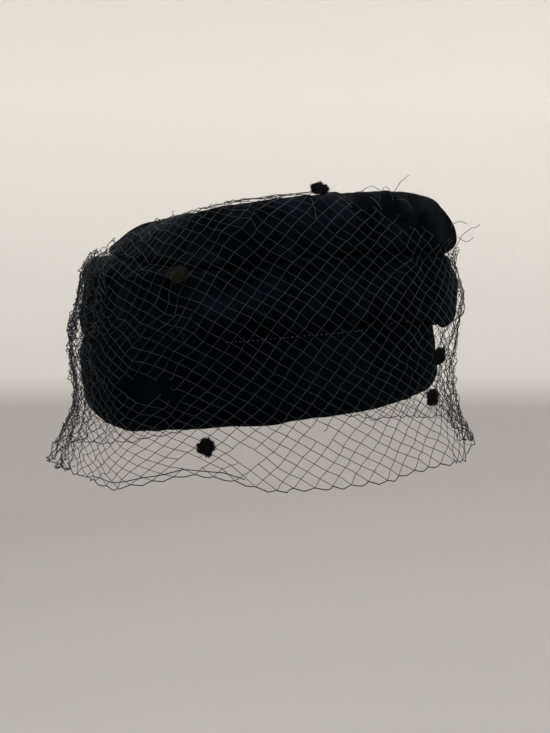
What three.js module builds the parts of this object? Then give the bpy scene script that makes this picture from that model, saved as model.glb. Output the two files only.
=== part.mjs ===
// A draped velvet pillbox hat with a net veil and chenille dots.
// Millimetres. +Z is up, -Y is the front and +X is the wearer's left, which is the right of a front view.
// The origin is the middle of the head opening, in the plane of the rim.
import * as THREE from "three";

// Thickness of the velvet over its stiff lining, and of the net
const VELVET = 2.5;
const NET = 1.2;
// How square the plan is: 2 is an ellipse
const PLAN_POWER = 2.4;

// Profiles. Each row is a station, and each column holds [reach from the axis, height]
// on that side of the hat.
// Side band: from the turned-under facing round the rim and up to the crown seam.
const SIDE_BAND = [
  { right: [77, 17], back: [88, 17], left: [78, 17], front: [88, 17] },
  { right: [78, 7], back: [89, 7], left: [79, 7], front: [89, 7] },
  { right: [84.5, 0], back: [96, 0], left: [86.4, 0], front: [96.4, 0] },
  { right: [90.8, 6], back: [103, 6], left: [92.8, 6.4], front: [103.4, 6] },
  { right: [91.8, 20], back: [104.2, 20], left: [94.2, 20], front: [104.4, 20] },
  { right: [91.8, 33], back: [104, 33], left: [94, 33], front: [104, 33] },
  { right: [91.4, 43], back: [102, 43], left: [90.8, 43], front: [102, 43] },
];
// Crown roll: from the seam down to its lip, round the puff and in to the groove under the crown top.
const CROWN_ROLL = [
  { right: [93, 42.4], back: [103, 43.8], left: [89, 43.8], front: [103, 43.8] },
  { right: [93.4, 36], back: [105, 45], left: [90.6, 46], front: [105, 46.4] },
  { right: [97, 28.4], back: [107.6, 44.4], left: [91.4, 49.4], front: [107, 48.4] },
  { right: [102.8, 32], back: [110.2, 48.6], left: [91.8, 53], front: [109, 52.8] },
  { right: [105.2, 44], back: [110.4, 56.4], left: [89.6, 60], front: [108.8, 59.6] },
  { right: [105, 56], back: [106.8, 64.6], left: [87.4, 68.4], front: [106.4, 67.4] },
  { right: [102, 62.8], back: [102.4, 70], left: [85.6, 77.4], front: [102.8, 73.6] },
  { right: [94, 65.6], back: [95, 71.6], left: [79, 82.6], front: [95.4, 75.4] },
  { right: [84, 65.8], back: [84, 71.8], left: [69, 83.8], front: [84, 75.6] },
];
// Crown top: from its foot in the groove up the wall and over to the middle.
const CROWN_TOP = [
  { right: [88, 66.8], back: [84, 73], left: [62, 85.2], front: [84, 76.8] },
  { right: [101.6, 67.2], back: [97, 73.4], left: [71.6, 85.4], front: [97.4, 77.2] },
  { right: [108, 76.6], back: [99.8, 77.4], left: [69.4, 89], front: [100.4, 82.4] },
  { right: [107, 87.4], back: [91.6, 87], left: [64, 93.4], front: [97.6, 96.4] },
  { right: [97.4, 97], back: [68, 95.4], left: [54, 98], front: [88, 107.4] },
  { right: [58, 104], back: [34, 99.8], left: [28, 102], front: [52, 105.4] },
  { right: [0, 102.6], back: [0, 102.6], left: [0, 102.6], front: [0, 102.6] },
];
// Tucks sewn into the crown top: the line that each runs along, seen from above, its width and its depth.
const TUCKS = [
  { from: [27, -46], to: [23, -127], width: 3.4, depth: 1.8 },
  { from: [40, -44], to: [42, -122], width: 3.4, depth: 3 },
  { from: [52, -42], to: [60, -112], width: 3.4, depth: 2.2 },
  { from: [64, -34], to: [81, -97], width: 3.6, depth: 2.8 },
  { from: [78, -20], to: [106, -74], width: 4, depth: 2.4 },
  { from: [86, -4], to: [122, -28], width: 4, depth: 2 },
  { from: [88, 14], to: [118, 34], width: 4.4, depth: 1.8 },
  { from: [76, 20], to: [104, 76], width: 4.4, depth: 2 },
  { from: [54, 20], to: [66, 104], width: 4.4, depth: 1.6 },
];

// Veil: from its hem below the rim, up the sides and over the crown.
const VEIL = [
  { right: [106, -31], back: [114, -31], left: [114.6, -22], front: [115, -31] },
  { right: [99.4, -12], back: [113, -12], left: [108, -6], front: [114, -12] },
  { right: [98.6, 7], back: [113, 11], left: [102, 14], front: [113.6, 11] },
  { right: [103, 25], back: [113.6, 35], left: [98.4, 35], front: [115.4, 36] },
  { right: [108, 42], back: [114, 52], left: [95, 54], front: [116.2, 53] },
  { right: [108, 57], back: [110, 67], left: [91.4, 71], front: [110, 68.6] },
  { right: [109.4, 68], back: [104.6, 76.6], left: [83, 86], front: [104.8, 79.4] },
  { right: [111.6, 79], back: [101.8, 83], left: [75.6, 92], front: [104, 88.4] },
  { right: [110, 92.4], back: [93.8, 93.4], left: [67, 98.4], front: [101, 101] },
  { right: [98.6, 103], back: [69.8, 100.8], left: [55, 103.6], front: [90.4, 111] },
  { right: [58, 108.6], back: [34, 104.4], left: [28, 106.4], front: [52, 110.4] },
];
// How far up that profile the veil's cut upper edge lies on each side, as a share of it
const VEIL_TOP = { right: 0.64, back: 0.86, left: 0.96, front: 0.97 };
// The coarse net that stands for the fine one: gaps round the hat, rows of whole gaps, width of a strand
const NET_COLUMNS = 14;
const NET_ROWS = 7;
const STRAND = 3;

// Chenille dots: the knot of the coarse net that each is tied on, and where that knot lies,
// as an angle round the hat and a share of the way up the veil.
const DOT = { width: 9, thickness: 4.4, gap: 0.3 };
const DOTS = [
  { name: "dot_1", row: 1, column: 9, angle: 248, rise: 0.13 },
  { name: "dot_2", row: 2, column: 12, angle: 309, rise: 0.2 },
  { name: "dot_3", row: 3, column: 11, angle: 313, rise: 0.32 },
  { name: "dot_4", row: 8, column: 11, angle: 279, rise: 0.9 },
  { name: "dot_5", row: 5, column: 9, angle: 240, rise: 0.57 },
  { name: "dot_6", row: 3, column: 1, angle: 30, rise: 0.37 },
  { name: "dot_7", row: 5, column: 2, angle: 70, rise: 0.6 },
  { name: "dot_8", row: 2, column: 4, angle: 104, rise: 0.24 },
  { name: "dot_9", row: 4, column: 5, angle: 132, rise: 0.48 },
];

const radians = THREE.MathUtils.degToRad;
const bent = (value) => Math.sign(value) * Math.abs(value) ** (2 / PLAN_POWER);

// What a row gives at an angle round the hat: its value for that side and for that end, blended
function blend(row, angle) {
  const across = Math.cos(angle);
  const along = Math.sin(angle);
  const side = across >= 0 ? row.right : row.left;
  const end = along >= 0 ? row.back : row.front;
  return { across, along, side, end, mix: (a, b) => a * across ** 2 + b * along ** 2 };
}

// The point of one station at an angle round the hat
function stationPoint(station, angle) {
  const { across, along, side, end, mix } = blend(station, angle);
  return new THREE.Vector3(side[0] * bent(across), end[0] * bent(along), mix(side[1], end[1]));
}

// A smooth surface through a profile's stations: share runs from 0 at the first to 1 at the last
function profileSurface(stations) {
  const curves = new Map();
  return (angle, share) => {
    const key = angle.toFixed(6);
    if (!curves.has(key)) {
      const points = stations.map((station) => stationPoint(station, angle));
      curves.set(key, new THREE.CatmullRomCurve3(points, false, "centripetal"));
    }
    return curves.get(key).getPoint(THREE.MathUtils.clamp(share, 0, 1));
  };
}

// The veil's own surface: rise runs from 0 at the hem to 1 at the cut upper edge
function trimmedVeil(surface) {
  return (angle, rise) => {
    const { side, end, mix } = blend(VEIL_TOP, angle);
    return surface(angle, rise * mix(side, end));
  };
}

// The unit normal of a surface, on the side that shows
function normalOf(surface, angle, share) {
  const step = 1e-3;
  const edge = THREE.MathUtils.clamp(share, step, 1 - 4 * step);
  const around = surface(angle + step, edge).sub(surface(angle - step, edge));
  const onward = surface(angle, edge + step).sub(surface(angle, edge - step));
  return around.cross(onward).normalize();
}

// How deep the tucks cut at a point of the crown top
function tuckDepth({ x, y }) {
  let depth = 0;
  for (const { from, to, width, depth: most } of TUCKS) {
    const run = [to[0] - from[0], to[1] - from[1]];
    const length = Math.hypot(...run);
    const along = ((x - from[0]) * run[0] + (y - from[1]) * run[1]) / length ** 2;
    const beside = ((x - from[0]) * run[1] - (y - from[1]) * run[0]) / length;
    if (along <= 0 || along >= 1) continue;
    depth += most * Math.exp(-((beside / width) ** 2)) * Math.sin(Math.PI * along);
  }
  return depth;
}

// The crown top with its tucks pressed in along its normal
function tuckedTop(surface) {
  return (angle, share) => {
    const point = surface(angle, share);
    return point.clone().addScaledVector(normalOf(surface, angle, share), -tuckDepth(point));
  };
}

// A mesh from vertices that faces share by index
function meshOf(name, vertices, faces, material) {
  const geometry = new THREE.BufferGeometry();
  const numbers = vertices.flatMap((vertex) => vertex.toArray());
  geometry.setAttribute("position", new THREE.Float32BufferAttribute(numbers, 3));
  geometry.setIndex(faces.flat());
  geometry.computeVertexNormals();
  const mesh = new THREE.Mesh(geometry, material);
  mesh.name = name;
  return mesh;
}

// Evenly spaced angles, with extra ones between two limits where folds need them
function columnAngles(step, fineStep = step, fineFrom = 0, fineTo = 0) {
  const angles = [];
  for (let angle = fineTo; angle < fineFrom + 360 - 0.5 * step; angle += step) angles.push(angle);
  for (let angle = fineFrom; angle < fineTo - 0.5 * fineStep; angle += fineStep) angles.push(angle + 360);
  return angles.map(radians);
}

// A wall of even thickness behind a surface that runs once round the hat.
// Its two edges are left open to each other, or, with a pole, the last row closes to one point.
function wall(name, surface, thickness, angles, rows, material, pole = false) {
  const vertices = [];
  const faces = [];
  const count = angles.length;
  const ringRows = pole ? rows : rows + 1;
  const layer = (inset) => {
    const first = vertices.length;
    for (let row = 0; row < ringRows; row++) {
      for (const angle of angles) {
        const point = surface(angle, row / rows);
        vertices.push(point.addScaledVector(normalOf(surface, angle, row / rows), -inset));
      }
    }
    const poleIndex = vertices.length;
    if (pole) vertices.push(surface(0, 1).setZ(surface(0, 1).z - inset));
    return (row, column) => (row < ringRows ? first + row * count + (column % count) : poleIndex);
  };
  const outer = layer(0);
  const inner = layer(thickness);
  for (let column = 0; column < count; column++) {
    for (let row = 0; row < rows; row++) {
      const last = pole && row === rows - 1;
      faces.push([outer(row, column), outer(row, column + 1), outer(row + 1, column)]);
      faces.push([inner(row, column + 1), inner(row, column), inner(row + 1, column)]);
      if (last) continue;
      faces.push([outer(row, column + 1), outer(row + 1, column + 1), outer(row + 1, column)]);
      faces.push([inner(row + 1, column + 1), inner(row, column + 1), inner(row + 1, column)]);
    }
    faces.push([outer(0, column + 1), outer(0, column), inner(0, column)]);
    faces.push([outer(0, column + 1), inner(0, column), inner(0, column + 1)]);
    if (pole) continue;
    faces.push([outer(rows, column), outer(rows, column + 1), inner(rows, column)]);
    faces.push([inner(rows, column), outer(rows, column + 1), inner(rows, column + 1)]);
  }
  return meshOf(name, vertices, faces, material);
}

// The coarse net, cut through all over. Its knots lie in staggered rows, and each gap is a diamond
// between four of them, or at the hem and the upper edge a triangle between three.
function net(name, surface, material) {
  const vertices = [];
  const faces = [];
  const lastRow = NET_ROWS + 1;
  const turn = radians(360 / NET_COLUMNS);
  const knotPlace = ([row, column]) => {
    const turns = Math.floor(column / NET_COLUMNS);
    const dotHere = DOTS.find((dot) => dot.row === row && dot.column === column - turns * NET_COLUMNS);
    if (dotHere) return { angle: radians(dotHere.angle + 360 * turns), rise: dotHere.rise };
    return { angle: (column + (row % 2) / 2) * turn, rise: row / lastRow };
  };
  const addPoint = ({ angle, rise }) => {
    const under = surface(angle, rise);
    vertices.push(under.clone().addScaledVector(normalOf(surface, angle, rise), NET), under);
    return { top: vertices.length - 2, under: vertices.length - 1 };
  };
  const knots = new Map();
  const knotPoint = ([row, column]) => {
    const key = `${row} ${column % NET_COLUMNS}`;
    if (!knots.has(key)) knots.set(key, addPoint(knotPlace([row, column])));
    return knots.get(key);
  };
  const addStrip = (a, b, c, d) => {
    faces.push([a.top, b.top, c.top], [a.top, c.top, d.top]);
    faces.push([c.under, b.under, a.under], [d.under, c.under, a.under]);
  };
  const addEdge = (a, b) => faces.push([a.top, b.top, b.under], [a.top, b.under, a.under]);
  // One gap, edged with half a strand on each side. Its corners are [row, column] of its knots.
  const addGap = (corners, openSide) => {
    const places = corners.map(knotPlace);
    const centre = {
      angle: places.reduce((sum, place) => sum + place.angle, 0) / places.length,
      rise: places.reduce((sum, place) => sum + place.rise, 0) / places.length,
    };
    const middle = surface(centre.angle, centre.rise);
    const spots = places.map(({ angle, rise }) => surface(angle, rise));
    const sides = spots.map((spot, index) => [spot, spots[(index + 1) % spots.length]]);
    const perimeter = sides.reduce((sum, [a, b]) => sum + a.distanceTo(b), 0);
    const area = sides.reduce((sum, [a, b]) => sum + new THREE.Triangle(a, b, middle).getArea(), 0);
    const inset = ((STRAND / 2) * perimeter) / (2 * area);
    const outer = corners.map(knotPoint);
    const inner = places.map(({ angle, rise }) => addPoint({
      angle: THREE.MathUtils.lerp(angle, centre.angle, inset),
      rise: THREE.MathUtils.lerp(rise, centre.rise, inset),
    }));
    for (let side = 0; side < corners.length; side++) {
      const next = (side + 1) % corners.length;
      addStrip(outer[side], outer[next], inner[next], inner[side]);
      addEdge(inner[side], inner[next]);
      if (side === openSide) addEdge(outer[next], outer[side]);
    }
  };
  for (let column = 0; column < NET_COLUMNS; column++) {
    addGap([[0, column], [0, column + 1], [1, column]], 0);
    for (let row = 1; row < lastRow; row++) {
      const middle = column + (row % 2);
      addGap([[row - 1, middle], [row, column + 1], [row + 1, middle], [row, column]]);
    }
    const middle = column + (lastRow % 2);
    addGap([[lastRow - 1, middle], [lastRow, column + 1], [lastRow, column]], 1);
  }
  return meshOf(name, vertices, faces, material);
}

// A chenille dot lying on the outside of the veil
function dot({ name, angle, rise }, surface, material) {
  const place = [radians(angle), rise];
  const normal = normalOf(surface, ...place);
  const mesh = new THREE.Mesh(new THREE.SphereGeometry(0.5, 8, 5), material);
  mesh.name = name;
  mesh.scale.set(DOT.width, DOT.width, DOT.thickness);
  mesh.quaternion.setFromUnitVectors(new THREE.Vector3(0, 0, 1), normal);
  mesh.position.copy(surface(...place)).addScaledVector(normal, NET + DOT.gap + DOT.thickness / 2);
  return mesh;
}

const velvet = new THREE.MeshStandardMaterial({ color: 0x0a0a0c, roughness: 0.95, metalness: 0 });
const thread = new THREE.MeshStandardMaterial({ color: 0x101012, roughness: 0.7, metalness: 0 });
const chenille = new THREE.MeshStandardMaterial({ color: 0x0c0b0a, roughness: 1, metalness: 0 });

const hat = new THREE.Group();
const topSurface = tuckedTop(profileSurface(CROWN_TOP));
const veilSurface = trimmedVeil(profileSurface(VEIL));
hat.add(wall("side_band", profileSurface(SIDE_BAND), VELVET, columnAngles(9), 9, velvet));
hat.add(wall("crown_roll", profileSurface(CROWN_ROLL), VELVET, columnAngles(8), 11, velvet));
hat.add(wall("crown_top", topSurface, VELVET, columnAngles(6, 3, -84, -12), 12, velvet, true));
hat.add(net("veil", veilSurface, thread));
for (const row of DOTS) hat.add(dot(row, veilSurface, chenille));

export default hat;
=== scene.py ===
# A draped velvet pillbox hat with a dotted net veil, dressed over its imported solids.
# The frame's axes: +Z up, -Y the front, +X the wearer's left. Tables and sizes are in millimetres
# unless their name says otherwise, and meshes are made in metres.
import math

import bpy
import numpy as np
from mathutils import Matrix, Vector
from mathutils.bvhtree import BVHTree


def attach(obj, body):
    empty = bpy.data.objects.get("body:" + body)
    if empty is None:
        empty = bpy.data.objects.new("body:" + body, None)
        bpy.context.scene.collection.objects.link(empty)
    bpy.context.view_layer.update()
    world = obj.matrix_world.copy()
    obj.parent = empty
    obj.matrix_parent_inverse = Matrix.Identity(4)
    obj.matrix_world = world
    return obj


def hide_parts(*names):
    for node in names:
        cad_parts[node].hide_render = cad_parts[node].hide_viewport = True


MM = 0.001

# The photograph's frame and the camera that it was taken with
FRAME_WIDTH, FRAME_HEIGHT = 550, 733
SENSOR_MM = 36
CAMERA = {"azimuth": -10, "elevation": 7, "roll": 5.9, "distance": 1.0, "focal_px": 1852}
# Where the middle of the head opening lies in the picture, in pixels from its top left corner
ORIGIN_PX = (262.5, 397)

# Thickness of the velvet over its lining
VELVET = 2.5
# How square the plan is: 2 is an ellipse
PLAN_POWER = 2.4

# Profiles. Each row is a station, and each column holds [reach from the axis, height]
# on that side of the hat.
SIDE_BAND = [
    {"right": [77, 17], "back": [88, 17], "left": [78, 17], "front": [88, 17]},
    {"right": [78, 7], "back": [89, 7], "left": [79, 7], "front": [89, 7]},
    {"right": [84.5, 0], "back": [96, 0], "left": [86.4, 0], "front": [96.4, 0]},
    {"right": [90.8, 6], "back": [103, 6], "left": [92.8, 6.4], "front": [103.4, 6]},
    {"right": [91.8, 20], "back": [104.2, 20], "left": [94.2, 20], "front": [104.4, 20]},
    {"right": [91.8, 33], "back": [104, 33], "left": [94, 33], "front": [104, 33]},
    {"right": [91.4, 43.5], "back": [102, 43.5], "left": [90.8, 43.5], "front": [102, 43.5]},
]
CROWN_ROLL = [
    {"right": [93, 42.4], "back": [103, 43.8], "left": [89, 43.8], "front": [103, 43.8]},
    {"right": [93.4, 36], "back": [105, 45], "left": [90.6, 46], "front": [105, 46.4]},
    {"right": [97, 28.4], "back": [107.6, 44.4], "left": [91.4, 49.4], "front": [107, 48.4]},
    {"right": [102.8, 32], "back": [110.2, 48.6], "left": [91.8, 53], "front": [109, 52.8]},
    {"right": [105.2, 44], "back": [110.4, 56.4], "left": [89.6, 60], "front": [108.8, 59.6]},
    {"right": [105, 56], "back": [106.8, 64.6], "left": [87.4, 68.4], "front": [106.4, 67.4]},
    {"right": [102, 62.8], "back": [102.4, 70], "left": [85.6, 77.4], "front": [102.8, 73.6]},
    {"right": [94, 65.6], "back": [95, 71.6], "left": [79, 82.6], "front": [95.4, 75.4]},
    {"right": [84, 65.8], "back": [84, 71.8], "left": [69, 83.8], "front": [84, 75.6]},
]
CROWN_TOP = [
    {"right": [88, 66.8], "back": [84, 73], "left": [62, 85.2], "front": [84, 76.8]},
    {"right": [101.6, 67.2], "back": [97, 73.4], "left": [71.6, 85.4], "front": [97.4, 77.2]},
    {"right": [108, 76.6], "back": [99.8, 77.4], "left": [69.4, 89], "front": [100.4, 82.4]},
    {"right": [107, 87.4], "back": [91.6, 87], "left": [64, 93.4], "front": [97.6, 96.4]},
    {"right": [97.4, 97], "back": [68, 95.4], "left": [54, 98], "front": [88, 107.4]},
    {"right": [58, 104], "back": [34, 99.8], "left": [28, 102], "front": [52, 105.4]},
    {"right": [0, 102.6], "back": [0, 102.6], "left": [0, 102.6], "front": [0, 102.6]},
]
VEIL = [
    {"right": [106, -31], "back": [114, -31], "left": [114.6, -22], "front": [115, -31]},
    {"right": [99.4, -12], "back": [113, -12], "left": [108, -6], "front": [114, -12]},
    {"right": [98.6, 7], "back": [113, 11], "left": [102, 14], "front": [113.6, 11]},
    {"right": [103, 25], "back": [113.6, 35], "left": [98.4, 35], "front": [115.4, 36]},
    {"right": [108, 42], "back": [114, 52], "left": [95, 54], "front": [116.2, 53]},
    {"right": [108, 57], "back": [110, 67], "left": [91.4, 71], "front": [110, 68.6]},
    {"right": [109.4, 68], "back": [104.6, 76.6], "left": [83, 86], "front": [104.8, 79.4]},
    {"right": [111.6, 79], "back": [101.8, 83], "left": [75.6, 92], "front": [104, 88.4]},
    {"right": [110, 92.4], "back": [93.8, 93.4], "left": [67, 98.4], "front": [101, 101]},
    {"right": [98.6, 103], "back": [69.8, 100.8], "left": [55, 103.6], "front": [90.4, 111]},
    {"right": [58, 108.6], "back": [34, 104.4], "left": [28, 106.4], "front": [52, 110.4]},
]
# How far up its profile the veil's cut upper edge lies on each side, as a share of it
VEIL_TOP = {"right": 0.64, "back": 0.86, "left": 0.96, "front": 0.97}

# Tucks sewn into the crown top: the line that each runs along, seen from above
TUCKS = [
    {"from": [27, -46], "to": [23, -127], "width": 3.4, "depth": 1.8},
    {"from": [40, -44], "to": [42, -122], "width": 3.4, "depth": 3},
    {"from": [52, -42], "to": [60, -112], "width": 3.4, "depth": 2.2},
    {"from": [64, -34], "to": [81, -97], "width": 3.6, "depth": 2.8},
    {"from": [78, -20], "to": [106, -74], "width": 4, "depth": 2.4},
    {"from": [86, -4], "to": [122, -28], "width": 4, "depth": 2},
    {"from": [88, 14], "to": [118, 34], "width": 4.4, "depth": 1.8},
    {"from": [76, 20], "to": [104, 76], "width": 4.4, "depth": 2},
    {"from": [54, 20], "to": [66, 104], "width": 4.4, "depth": 1.6},
]
# Soft folds that fan out down the side of the crown: the angle round the hat and the height
# that each runs between, its width and how far it stands out
FOLDS = [
    {"from": [291, 97], "to": [265, 62], "width": 4.5, "stand": 1.5},
    {"from": [290, 88], "to": [268, 60], "width": 3.5, "stand": 1.4},
    {"from": [296, 84], "to": [279, 48], "width": 3.5, "stand": 1.6},
    {"from": [270, 98], "to": [262, 58], "width": 4, "stand": 1.2},
    {"from": [247, 92], "to": [243, 70], "width": 4, "stand": 1},
    {"from": [306, 90], "to": [298, 52], "width": 4, "stand": 1},
    {"from": [232, 88], "to": [226, 56], "width": 4, "stand": 1.2},
    {"from": [214, 84], "to": [212, 52], "width": 3.5, "stand": 1.4},
    {"from": [196, 82], "to": [198, 54], "width": 3.5, "stand": 1.4},
    {"from": [178, 80], "to": [180, 54], "width": 3.5, "stand": 1.2},
    {"from": [158, 80], "to": [154, 52], "width": 4, "stand": 1.4},
    {"from": [132, 76], "to": [128, 50], "width": 4, "stand": 1.4},
    {"from": [104, 74], "to": [101, 50], "width": 4, "stand": 1.3},
    {"from": [76, 74], "to": [72, 48], "width": 4, "stand": 1.4},
    {"from": [48, 72], "to": [45, 44], "width": 4, "stand": 1.2},
    {"from": [20, 70], "to": [22, 40], "width": 4, "stand": 1.2},
    {"from": [340, 68], "to": [336, 40], "width": 4, "stand": 1.1},
]
# Millimetres round the hat for each degree, where the folds lie
FOLD_PITCH = 1.8

# Chenille dots: their size, bristles and room above the veil, and then for each the angle round
# the hat, the share of the way up the veil, and whether its chenille is painted olive brown, a painted
# sheen
DOT = {"width": 9, "thickness": 4.4, "bristles": 2100, "clear": 1.4}
DOTS = [
    {"name": "dot_1", "angle": 248, "rise": 0.13, "painted_sheen": False},
    {"name": "dot_2", "angle": 309, "rise": 0.2, "painted_sheen": False},
    {"name": "dot_3", "angle": 313, "rise": 0.32, "painted_sheen": False},
    {"name": "dot_4", "angle": 279, "rise": 0.9, "painted_sheen": False},
    {"name": "dot_5", "angle": 240, "rise": 0.57, "painted_sheen": True},
    {"name": "dot_6", "angle": 30, "rise": 0.37, "painted_sheen": False},
    {"name": "dot_7", "angle": 70, "rise": 0.6, "painted_sheen": False},
    {"name": "dot_8", "angle": 104, "rise": 0.24, "painted_sheen": False},
    {"name": "dot_9", "angle": 132, "rise": 0.48, "painted_sheen": False},
]

# The net: whole meshes round the hat and up it, and the thread between two knots
NET_COLUMNS = 88
NET_ROWS = 32
THREAD_LENGTH = 5.5
THREAD = 0.36
HEM_THREAD = 0.6
KNOT = 0.6
# The middle of the front, in degrees
FRONT = 272
# How high a mesh hangs at the front: the first above the hem, those over the band, and those from
# CROWN_MESH up, over the crown
MESH_HEIGHT = {"hem": 6, "band": 7, "crown": 7.5}
CROWN_MESH = 8
# How far the net is drawn to the left at each height, and the width of a mesh in the middle
# of the front and SIDE_MESHES meshes to the left and right of it
SIDE_MESHES = 8
NET_WIDTH = [
    {"height": 0, "shift": 0, "middle": 9, "left": 10, "right": 9},
    {"height": 60, "shift": 15, "middle": 8, "left": 9, "right": 8},
    {"height": 120, "shift": 26, "middle": 8.5, "left": 9, "right": 8.5},
    {"height": 190, "shift": 31, "middle": 9, "left": 9, "right": 9},
]
# Meshes to either side of the middle that hang smoothly, the natural width of the others,
# and the angles at which what is left over is gathered
SMOOTH_MESHES = 10
MESH_WIDTH = 9
GATHERS = {"left": 184, "right": 356}
GATHER_WIDTH = {"left": 55, "right": 32}
# The height toward which the net is pinched together at each gather
PINCH = {"left": 74, "right": 80}
# Waves of the hem: how far it is lifted at each angle, and how far that reaches up the net
HEM_WAVES = [
    {"angle": 92, "lift": 2},
    {"angle": 120, "lift": -3},
    {"angle": 150, "lift": 3},
    {"angle": 178, "lift": -1},
    {"angle": 200, "lift": 5},
    {"angle": 218, "lift": 0},
    {"angle": 242, "lift": 10},
    {"angle": 252, "lift": 9},
    {"angle": 265, "lift": -1},
    {"angle": 285, "lift": -3},
    {"angle": 305, "lift": -1},
    {"angle": 324, "lift": -5},
    {"angle": 338, "lift": 1},
    {"angle": 355, "lift": -3},
    {"angle": 372, "lift": 3},
    {"angle": 400, "lift": -3},
    {"angle": 430, "lift": 2},
    {"angle": 452, "lift": 2},
]
HEM_REACH = 40
# The second thread along part of the hem: the angles that it runs between, and how far above it
HEM_CORD = {"from": 205, "to": 262, "rise": 2.2}
# The cut upper edge where it is lower than the veil's own: the height above the hem
CUT_EDGE = [
    {"angle": 90, "height": 104},
    {"angle": 178, "height": 116},
    {"angle": 190, "height": 132},
    {"angle": 202, "height": 200},
    {"angle": 280, "height": 200},
    {"angle": 285, "height": 145},
    {"angle": 300, "height": 130},
    {"angle": 315, "height": 118},
    {"angle": 350, "height": 104},
    {"angle": 400, "height": 112},
    {"angle": 450, "height": 104},
]
# Tears in the net: the angle and height of the middle of each, and its half width and half height
TEARS = [
    {"angle": 228.5, "height": 52, "wide": 17, "high": 5},
    {"angle": 236, "height": 49.5, "wide": 9, "high": 3},
    {"angle": 258.5, "height": 18.4, "wide": 2.5, "high": 2.5},
    {"angle": 271.5, "height": 27, "wide": 2.5, "high": 2.5},
    {"angle": 244, "height": 15, "wide": 3, "high": 2.5},
]
# Snags, where a few threads are pulled out of line: how far the net is drawn, to the right and up
SNAGS = [
    {"angle": 259, "height": 136, "right": 3.5, "up": 2.5, "reach": 7},
    {"angle": 253, "height": 128, "right": -2.5, "up": 2, "reach": 8},
    {"angle": 234, "height": 92, "right": 3, "up": -3, "reach": 8},
    {"angle": 224, "height": 70, "right": -3, "up": -2.5, "reach": 9},
    {"angle": 240, "height": 66, "right": -2.5, "up": 2, "reach": 7},
    {"angle": 232, "height": 36, "right": 4, "up": 2, "reach": 8},
    {"angle": 302, "height": 108, "right": 3, "up": -3, "reach": 8},
    {"angle": 222, "height": 120, "right": 2, "up": -3, "reach": 8},
]

# Loose threads that stand away from the net: the angle and the share of the way up the veil where
# each starts, how far off its tip is, its lean in degrees from upright toward the wearer's left, and
# how far it bows
LOOSE_ENDS = [
    {"angle": 292, "rise": 0.98, "reach": 14, "lean": 95, "bow": 4},
    {"angle": 299, "rise": 0.95, "reach": 8, "lean": 90, "bow": 7},
    {"angle": 301, "rise": 0.95, "reach": 15, "lean": 40, "bow": 2},
    {"angle": 304, "rise": 0.97, "reach": 8, "lean": 130, "bow": 2},
    {"angle": 336, "rise": 0.92, "reach": 15, "lean": 60, "bow": 2},
    {"angle": 336, "rise": 0.96, "reach": 8, "lean": 100, "bow": -2},
    {"angle": 331, "rise": 1, "reach": 9, "lean": 85, "bow": 2},
    {"angle": 203, "rise": 0.7, "reach": 11, "lean": -140, "bow": -3},
    {"angle": 203, "rise": 0.62, "reach": 15, "lean": -160, "bow": -5},
    {"angle": 201, "rise": 0.5, "reach": 9, "lean": -150, "bow": -2},
    {"angle": 198, "rise": 0.3, "reach": 6, "lean": -95, "bow": 1},
    {"angle": 199, "rise": 0.23, "reach": 8, "lean": -155, "bow": -3},
]
# Rows of stitches that show on the velvet: the angles and heights between which each runs,
# how many stitches it has and how long each is
STITCHES = [
    {"from": [252, 42.4], "to": [272, 41.5], "count": 17, "length": 0.9},
    {"from": [273, 41.4], "to": [292, 40], "count": 16, "length": 0.9},
    {"from": [297, 40.4], "to": [304, 41.4], "count": 5, "length": 0.8},
    {"from": [282, 107], "to": [281.2, 96], "count": 9, "length": 0.9},
    {"from": [292, 106.5], "to": [294, 100], "count": 6, "length": 0.9},
    {"from": [301.3, 104], "to": [303, 97], "count": 6, "length": 0.9},
]
STITCH = 0.34

# Drape and crumple of each velvet piece: how deep they are, how long their waves are, how quickly
# the drape changes upward beside how it does level, and the seed of their noise
RELIEF = {
    "band": {"drape": 0.5, "long": 34, "crumple": 0.18, "short": 9, "upward": 0.45, "seed": 11},
    "roll": {"drape": 0.7, "long": 26, "crumple": 0.3, "short": 10, "upward": 0.5, "seed": 21},
    "top": {"drape": 0.6, "long": 30, "crumple": 0.3, "short": 11, "upward": 1, "seed": 31},
}
# The roll's shoulder, as a share of the way up its profile, above which it lies under the crown top
SHOULDER = 0.8
# The height where the net starts to lie on the velvet, and how much higher it does so fully
REST_FROM, REST_RISE = 40, 26
# Least room between the middle of a thread and the velvet
THREAD_CLEAR = 0.6


def bent(value):
    return np.sign(value) * np.abs(value) ** (2 / PLAN_POWER)


def station_points(table, angle):
    """The points of every station of a profile, at each angle round the hat."""
    across, along = np.cos(angle), np.sin(angle)
    points = []
    for row in table:
        side = np.where((across >= 0)[:, None], row["right"], row["left"])
        end = np.where((along >= 0)[:, None], row["back"], row["front"])
        height = side[:, 1] * across**2 + end[:, 1] * along**2
        points.append(np.stack([side[:, 0] * bent(across), end[:, 0] * bent(along), height], -1))
    return np.stack(points)


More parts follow.
